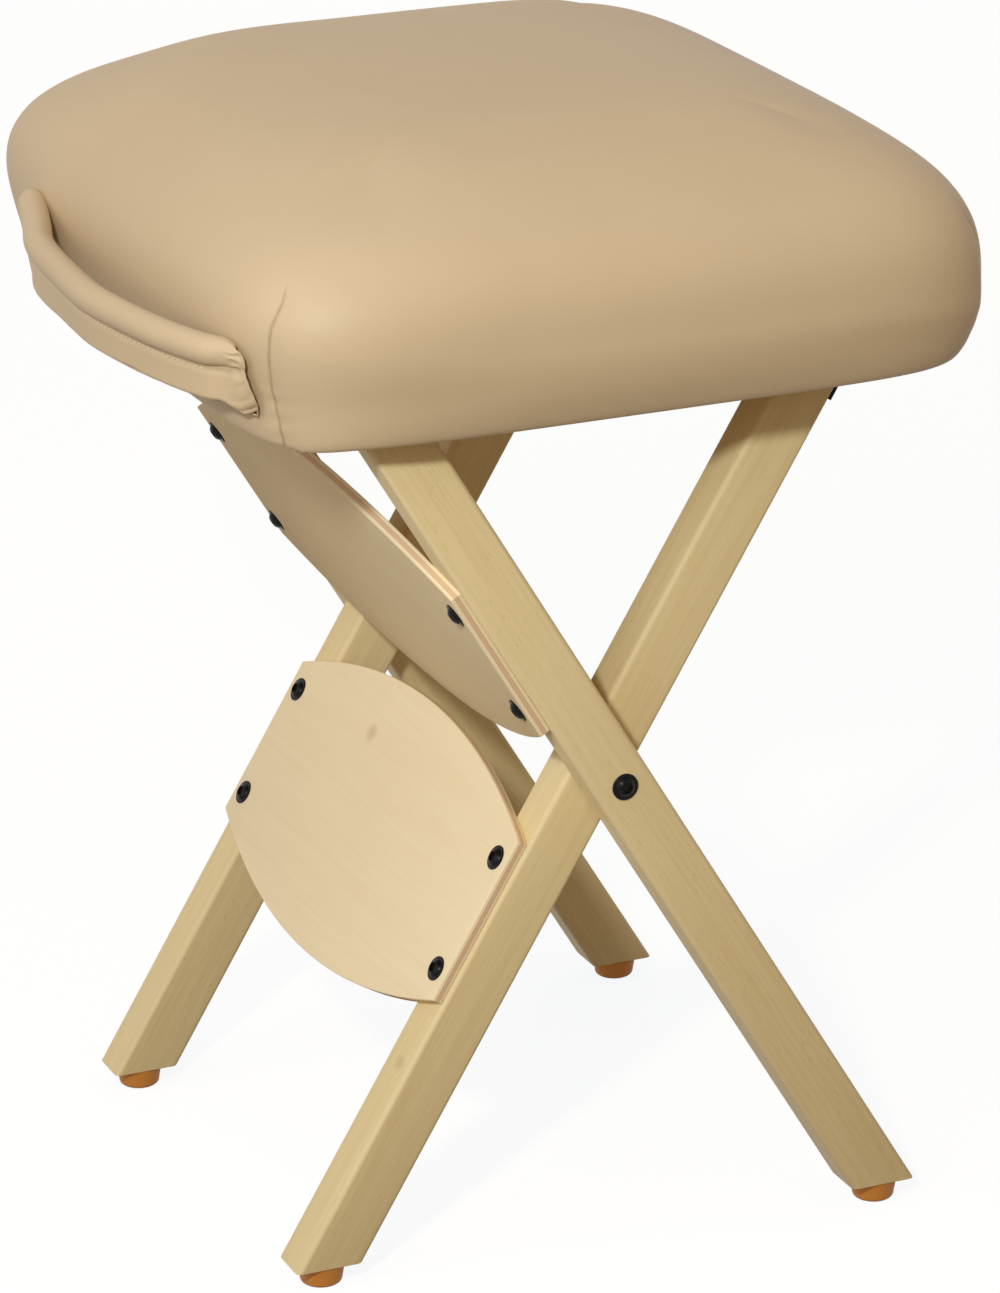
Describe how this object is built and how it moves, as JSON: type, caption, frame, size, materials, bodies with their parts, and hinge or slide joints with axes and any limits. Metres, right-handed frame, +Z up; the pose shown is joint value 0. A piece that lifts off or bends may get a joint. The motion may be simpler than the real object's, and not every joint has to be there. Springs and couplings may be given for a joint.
{
  "type": "folding stool",
  "caption": "Folding stool with crossed wooden legs, plywood cross panels, a padded vinyl seat hinged to the inner legs and a soft carry handle on one side.",
  "frame": {"origin": "on the floor, under the middle of the whole stool's outline, handle included", "axes": "+X from the carry handle to the hinged end of the seat, +Y along the pivot bolts away from the pictured side, +Z up"},
  "size_m": [0.386, 0.382, 0.519],
  "materials": {
    "leg_wood": "satin",
    "plywood": "satin",
    "black_cap": "satin",
    "black_hinge": "satin",
    "steel": "satin",
    "brass": "satin",
    "foot_rubber": "matte",
    "vinyl": "satin",
    "foam": "matte",
    "filler_cord": "matte"
  },
  "bodies": {
    "inner_frame": {"inner_leg_near": "leg_wood", "inner_leg_far": "leg_wood", "lower_panel": "plywood", "lower_panel_screws": "black_cap", "lower_panel_inserts": "brass", "inner_foot_near": "foot_rubber", "inner_foot_far": "foot_rubber", "inner_foot_screws": "steel", "pivot_bolt_near": "black_cap", "pivot_bolt_far": "black_cap", "pivot_washers": "steel", "pivot_nuts": "steel", "hinge_leg_leaf_near": "black_hinge", "hinge_leg_leaf_far": "black_hinge", "hinge_pins": "steel", "hinge_leg_screws": "black_hinge"},
    "outer_frame": {"outer_leg_near": "leg_wood", "outer_leg_far": "leg_wood", "upper_panel": "plywood", "upper_panel_screws": "black_cap", "upper_panel_inserts": "brass", "outer_foot_near": "foot_rubber", "outer_foot_far": "foot_rubber", "outer_foot_screws": "steel"},
    "seat": {"seat_board": "plywood", "seat_foam": "foam", "seat_cover": "vinyl", "carry_handle": "vinyl", "handle_core": "filler_cord", "stop_cleat": "leg_wood", "stop_cleat_screws": "steel", "hinge_seat_leaf_near": "black_hinge", "hinge_seat_leaf_far": "black_hinge", "hinge_seat_screws": "black_hinge"}
  },
  "joints": [
    {"name": "leg_fold", "type": "hinge", "parent": "inner_frame", "child": "outer_frame", "pos_m": [0.0125, 0, 0.2275], "axis": [0, 1, 0], "range_deg": [0, 61.5]},
    {"name": "seat_hinge", "type": "hinge", "parent": "inner_frame", "child": "seat", "pos_m": [0.1384, 0, 0.40285], "axis": [0, 1, 0], "range_deg": [0, 120]}
  ],
  "couplings": [
    {"joint": "seat_hinge", "follows": "leg_fold", "ratio": 1.95}
  ]
}
